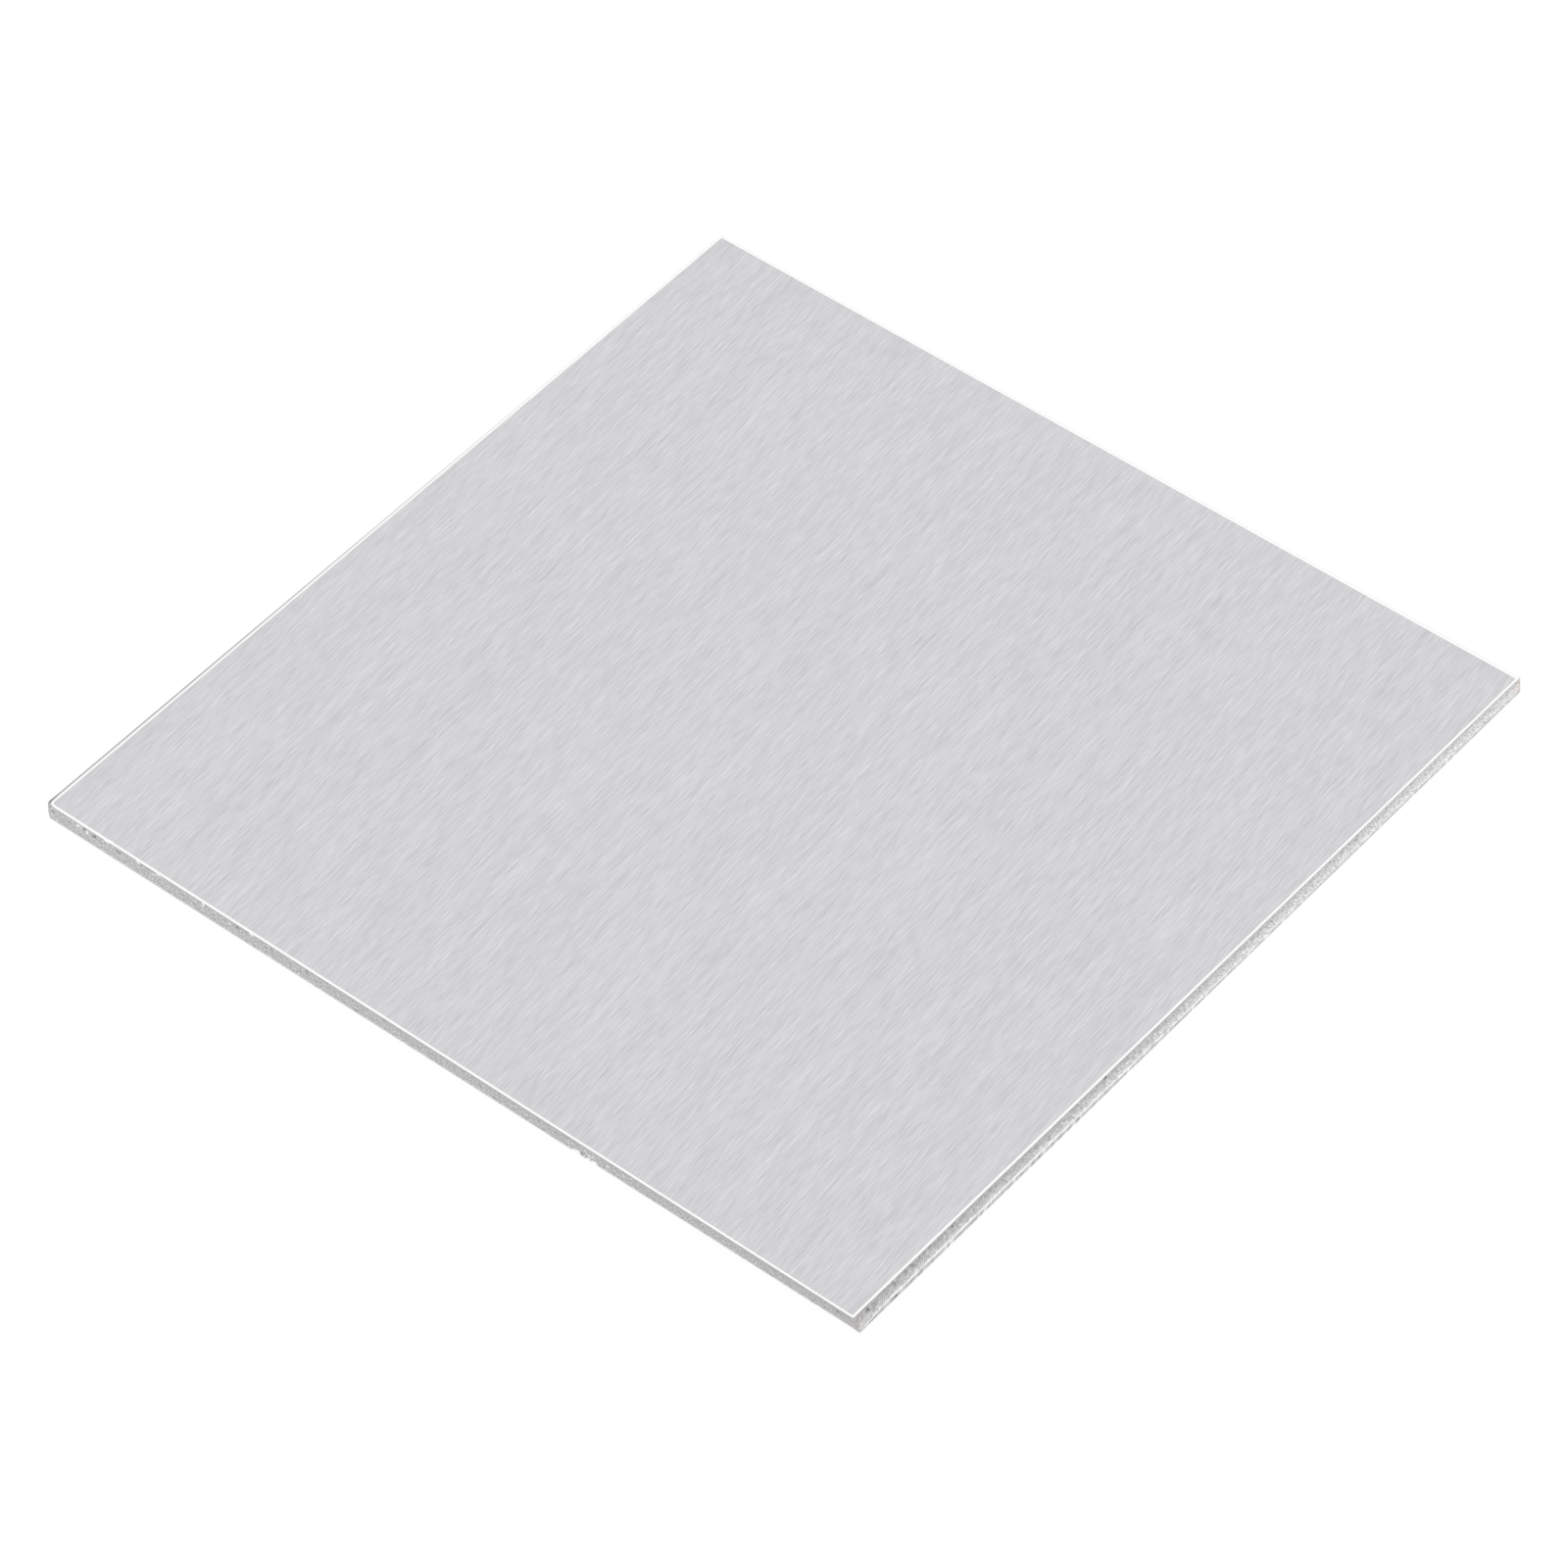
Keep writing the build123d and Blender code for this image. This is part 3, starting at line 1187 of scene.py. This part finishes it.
    def _relief(self, height: Feed) -> tuple[Feed, Feed, Feed]:
        """Builds the relief of the torn face, the chips in the rim and the single marks, all cut inwards.

        Args:
            height: The height, in metres.

        Returns:
            How far the surface goes in, where a chip has laid the metal bare, and where a pit is dark.
        """
        w, given, row, calm = self.w, self.given, self.row, self.calm
        torn = Zone.TORN
        below_rim = w.ramp(row, torn.start, torn.start + 2.0)
        above_ledge = w.ramp(row, torn.end - 1.0, torn.end, 1.0, 0.0)
        slant = w.ramp(self.progress, *TEARS_TURN, -0.7, 0.7)
        u = w.math("DIVIDE", w.total(self.along, w.product(height, slant)), given["Tear Size"])
        v = w.math("DIVIDE", height, w.product(given["Tear Size"], 2.2))
        grains = w.ramp(w.noise(w.vector(u, v, given["Seed"]), 1.0, detail=2.0, roughness=0.6), *NOISE_SPAN)
        tears = w.product(grains, given["Tear Relief"], w.product(below_rim, above_ledge, calm))

        spot = w.math("DIVIDE", self.along, given["Chip Size"])
        chips = w.noise(w.vector(spot, 3.0, given["Seed"]), 1.0, detail=1.0)
        gate = w.ramp(self.progress, *self.chips_grow, *self.chip_gates)
        chip = w.product(w.ramp(w.math("SUBTRACT", chips, gate), 0.0, self.chip_edge, soft=True), calm)
        under_facet = w.ramp(row, Zone.ROUND.start - 0.5, Zone.ROUND.start + 1.0)
        over_tear = w.ramp(row, torn.start + 1.0, torn.start + 4.0, 1.0, 0.0)
        chip_here = w.product(chip, w.product(under_facet, over_tear))

        marks = self._marks(height)
        bright, dark = (w.product(level, calm) for level in marks)
        off_foot = w.ramp(height, 0.0, 0.2 * MM)
        marked = w.product(w.math("MAXIMUM", bright, dark), off_foot, given["Mark Depth"])
        depth = w.total(tears, w.product(chip_here, given["Chip Depth"]), marked)
        return depth, w.math("MAXIMUM", w.product(chip_here, 0.8), bright), marks[1]

    @staticmethod
    def _mark_group() -> NodeTree:
        """Builds the mask of one mark: 1 in its middle and 0 outside, with a ragged outline.

        Returns:
            The group.
        """
        names = ("Along", "Height", "Ragged", "Mark Along", "Mark Height", "Width", "Tall", "Lean")
        draft = GroupDraft("Single Mark", "GeometryNodeTree", dict.fromkeys(names, 0.0), {"Mask": FLOAT})
        w, given = draft.wiring, draft.given
        above = w.math("SUBTRACT", given["Height"], given["Mark Height"])
        middle = w.total(given["Mark Along"], w.product(above, given["Lean"]))
        beside = w.math("SUBTRACT", given["Along"], middle)
        u = w.math("DIVIDE", beside, given["Width"])
        v = w.math("DIVIDE", above, given["Tall"])
        far = w.total(w.product(u, u, 4.0), w.product(v, v, 4.0), given["Ragged"])
        return draft.close({"Mask": w.ramp(far, 1.1, 0.5, soft=True)})

    def _marks(self, height: Feed) -> list[Feed]:
        """Builds the single marks that the photograph shows.

        Args:
            height: The height, in metres.

        Returns:
            The masks of the bright marks and of the dark ones.
        """
        w, size = self.w, self.given["Ragged Size"]
        group = self._mark_group()
        spot = w.vector(w.math("DIVIDE", self.along, size), w.math("DIVIDE", height, size), 5.0)
        ragged = w.ramp(w.noise(spot, 1.0), *NOISE_SPAN, -0.45, 0.45)
        masks = {True: 0.0, False: 0.0}
        for mark in self.sheet.marks:
            feeds = {
                "Along": self.along,
                "Height": height,
                "Ragged": ragged,
                "Mark Along": mark.along * MM,
                "Mark Height": mark.height * MM,
                "Width": mark.width * MM,
                "Tall": mark.tall * MM,
                "Lean": mark.lean,
            }
            masks[mark.bright] = w.math("MAXIMUM", masks[mark.bright], w.group(group, feeds)["Mask"])
        return list(masks.values())

    def _store(
        self, geometry: Feed, name: str, value: Feed, kind: str = "FLOAT", domain: str = "POINT"
    ) -> NodeSocket:
        """Stores a named attribute on the mesh.

        Args:
            geometry: The mesh.
            name: The attribute's name.
            value: What it holds.
            kind: Blender's name for the type of its values.
            domain: Blender's name for the part of the mesh that carries it.

        Returns:
            The mesh with the attribute.
        """
        feeds = {"Geometry": geometry, "Name": name, "Value": value}
        made = self.w.node("GeometryNodeStoreNamedAttribute", feeds, data_type=kind, domain=domain)
        return made.outputs[0]

    def _row_read(self) -> NodeSocket:
        """Reads the row that was stored."""
        return self.w.node("GeometryNodeInputNamedAttribute", {"Name": ROW}, data_type="FLOAT").outputs[0]

    def _is(self, operation: str, first: Feed, second: Feed) -> NodeSocket:
        """Compares two numbers, by Blender's name for the comparison."""
        feeds = {0: first, 1: second}
        return self.w.node("FunctionNodeCompare", feeds, data_type="FLOAT", operation=operation).outputs[0]

    def _caps(self, band: Feed) -> NodeSocket:
        """Fills the band's two borders with the brushed face and the bottom face.

        Args:
            band: The wrapped band.

        Returns:
            The closed mesh.
        """
        w, last = self.w, Zone.ROLLOVER.end
        parts = [band]
        tests = (("LESS_THAN", ROW_SLACK, 0.0), ("GREATER_THAN", last - ROW_SLACK, last))
        for operation, limit, row in tests:
            border = self._is(operation, self._row_read(), limit)
            curve = w.node("GeometryNodeMeshToCurve", {"Mesh": band, "Selection": border}).outputs[0]
            face = w.node("GeometryNodeFillCurve", {"Curve": curve}, mode="TRIANGLES").outputs[0]
            if row:
                face = w.node("GeometryNodeFlipFaces", {"Mesh": face}).outputs[0]
            else:
                lift = w.vector(0.0, 0.0, self.given["Thickness"])
                face = w.node("GeometryNodeTransform", {"Geometry": face, "Translation": lift}).outputs[0]
            parts.append(self._store(face, ROW, row))
        joined = w.node("GeometryNodeJoinGeometry")
        for part in parts:
            w.feed(joined.inputs[0], part)
        feeds = {"Geometry": joined.outputs[0], "Distance": WELD}
        return w.node("GeometryNodeMergeByDistance", feeds).outputs[0]

    def _creases(self, whole: Feed) -> NodeSocket:
        """Shades the mesh smooth, but for the borders of its flat faces and its sharp edges.

        Args:
            whole: The closed mesh.

        Returns:
            The mesh.
        """
        w = self.w
        feeds = {"Geometry": whole, "Shade Smooth": True}
        smooth = w.node("GeometryNodeSetShadeSmooth", feeds, domain="FACE").outputs[0]
        row = self._row_read()
        angle = w.node("GeometryNodeInputMeshEdgeAngle").outputs[0]
        crease = self._is("LESS_THAN", row, ROW_SLACK)
        for test in (
            self._is("GREATER_THAN", row, Zone.ROLLOVER.end - ROW_SLACK),
            self._is("GREATER_THAN", angle, SHARP),
        ):
            crease = w.node("FunctionNodeBooleanMath", {0: crease, 1: test}, operation="OR").outputs[0]
        feeds = {"Geometry": smooth, "Selection": crease, "Shade Smooth": False}
        return w.node("GeometryNodeSetShadeSmooth", feeds, domain="EDGE").outputs[0]

    def _dress(self, whole: Feed, finishes: dict[str, Material]) -> NodeSocket:
        """Gives each zone its material, from the bottom face up.

        Args:
            whole: The closed mesh.
            finishes: The materials by zone name.

        Returns:
            The dressed mesh.
        """
        limits = {
            "land": Zone.ROLLOVER.end,
            "torn": Zone.LEDGE.end,
            "rim": Zone.ROUND.end,
            "facet": Zone.FACET.end,
            "brushed": ROW_SLACK,
        }
        feeds = {"Geometry": whole, "Material": finishes["mill"]}
        dressed = self.w.node("GeometryNodeSetMaterial", feeds).outputs[0]
        for name, limit in limits.items():
            here = self._is("LESS_THAN", self._row_read(), limit)
            feeds = {"Geometry": dressed, "Selection": here, "Material": finishes[name]}
            dressed = self.w.node("GeometryNodeSetMaterial", feeds).outputs[0]
        return dressed


@dataclass(frozen=True)
class Lamp:
    """A large soft lamp that points at the sheet."""

    name: str
    place: Vector
    size: float
    power: float


@dataclass
class Studio:
    """The pale floor, the white surroundings, the soft lamps and the camera."""

    aim: Vector = field(default_factory=lambda: Vector((-6.60 * MM, -5.16 * MM, 3.0 * MM)))
    azimuth: float = math.radians(-48.34)
    elevation: float = math.radians(47.57)
    roll: float = math.radians(-2.48)
    distance: float = 1.0574
    lens: float = 170.89
    sensor: float = 36.0
    floor_size: float = 8.0
    floor_gap: float = 0.02 * MM
    shadow_share: float = 0.24
    floor_glow: float = 0.82
    floor_colour: float = 0.85
    surroundings: float = 0.86
    lamps: tuple[Lamp, ...] = (
        Lamp("key_lamp", Vector((1.4, -1.9, 1.9)), 1.8, 9.0),
        Lamp("fill_lamp", Vector((-2.0, 0.9, 1.8)), 1.8, 5.0),
    )

    def camera(self) -> Object:
        """Places the camera by its angles round the aim point.

        Returns:
            The camera.
        """
        level = math.cos(self.elevation)
        across, behind = math.sin(self.azimuth) * level, math.cos(self.azimuth) * level
        back = Vector((across, -behind, math.sin(self.elevation)))
        right = (-back).cross(Vector((0.0, 0.0, 1.0))).normalized()
        up = right.cross(-back)
        rolled_right = right * math.cos(self.roll) + up * math.sin(self.roll)
        rolled_up = up * math.cos(self.roll) - right * math.sin(self.roll)
        turn = Matrix((rolled_right, rolled_up, back)).transposed().to_4x4()
        data = bpy.data.cameras.new("camera")
        data.sensor_width = self.sensor
        data.lens = self.lens
        data.clip_start = 0.01
        made = bpy.data.objects.new("camera", data)
        made.matrix_world = Matrix.Translation(self.aim + back * self.distance) @ turn
        bpy.context.scene.collection.objects.link(made)
        bpy.context.scene.camera = made
        return made

    @staticmethod
    def _seen_directly(w: Wiring) -> NodeSocket:
        """Tells the rays that show the background from those that only carry light.

        Args:
            w: The tree's wiring.

        Returns:
            1 for camera, glossy and transmission rays.
        """
        path = w.node("ShaderNodeLightPath")
        seen = w.math("MAXIMUM", path.outputs["Is Camera Ray"], path.outputs["Is Glossy Ray"])
        return w.math("MAXIMUM", seen, path.outputs["Is Transmission Ray"])

    def world(self) -> None:
        """Makes the white surroundings, a little dimmer as light than as background."""
        world = bpy.data.worlds.new("surroundings")
        world.use_nodes = True
        world.node_tree.nodes.clear()
        w = Wiring(world.node_tree)
        strength = w.ramp(self._seen_directly(w), 0.0, 1.0, self.surroundings, 1.0)
        sky = w.node("ShaderNodeBackground", {"Color": WHITE, "Strength": strength})
        w.node("ShaderNodeOutputWorld", {"Surface": sky.outputs[0]})
        bpy.context.scene.world = world

    def floor(self) -> Object:
        """Makes the floor: white in the picture but for a soft shadow, and open from below.

        Returns:
            The floor.
        """
        half = self.floor_size / 2
        mesh = bpy.data.meshes.new("floor")
        corners = [(-half, -half, 0.0), (half, -half, 0.0), (half, half, 0.0), (-half, half, 0.0)]
        mesh.from_pydata(corners, [], [(0, 1, 2, 3)])
        mesh.transform(Matrix.Translation((0.0, 0.0, -self.floor_gap)))
        material = bpy.data.materials.new("floor")
        material.use_nodes = True
        material.node_tree.nodes.clear()
        w = Wiring(material.node_tree)
        shaded = w.node("ShaderNodeBsdfDiffuse", {"Color": (self.shadow_share,) * 3})
        glow = w.node("ShaderNodeEmission", {"Color": WHITE, "Strength": self.floor_glow})
        shown = w.node("ShaderNodeAddShader", {0: shaded.outputs[0], 1: glow.outputs[0]})
        pale = w.node("ShaderNodeBsdfDiffuse", {"Color": (self.floor_colour,) * 3})
        feeds = {0: self._seen_directly(w), 1: pale.outputs[0], 2: shown.outputs[0]}
        above = w.node("ShaderNodeMixShader", feeds)
        clear = w.node("ShaderNodeBsdfTransparent")
        below = w.node("ShaderNodeNewGeometry").outputs["Backfacing"]
        both = w.node("ShaderNodeMixShader", {0: below, 1: above.outputs[0], 2: clear.outputs[0]})
        w.node("ShaderNodeOutputMaterial", {"Surface": both.outputs[0]})
        mesh.materials.append(material)
        floor = bpy.data.objects.new("floor", mesh)
        bpy.context.scene.collection.objects.link(floor)
        return floor

    def light(self) -> None:
        """Hangs the lamps."""
        for lamp in self.lamps:
            data = bpy.data.lights.new(lamp.name, "AREA")
            data.shape = "SQUARE"
            data.size = lamp.size
            data.energy = lamp.power
            made = bpy.data.objects.new(lamp.name, data)
            made.location = lamp.place
            made.rotation_mode = "QUATERNION"
            made.rotation_quaternion = (-lamp.place).to_track_quat("-Z", "Y")
            bpy.context.scene.collection.objects.link(made)

    def build(self) -> None:
        """Sets up the whole studio."""
        self.camera()
        self.world()
        self.floor()
        self.light()
        bpy.context.scene.view_settings.view_transform = "Standard"


def main() -> None:
    """Builds the studio and the sheet."""
    logging.basicConfig(level=logging.INFO, format="%(message)s")
    log = logging.getLogger("sheet")
    Studio().build()
    low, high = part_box(NODE)
    kit = ShaderKit(high.x, -low.y)
    sheet = CutSheet(low, high, kit).build()
    log.info("%s: %d faces, %d materials", sheet.name, len(sheet.data.polygons), len(sheet.data.materials))


if __name__ == "__main__":
    main()
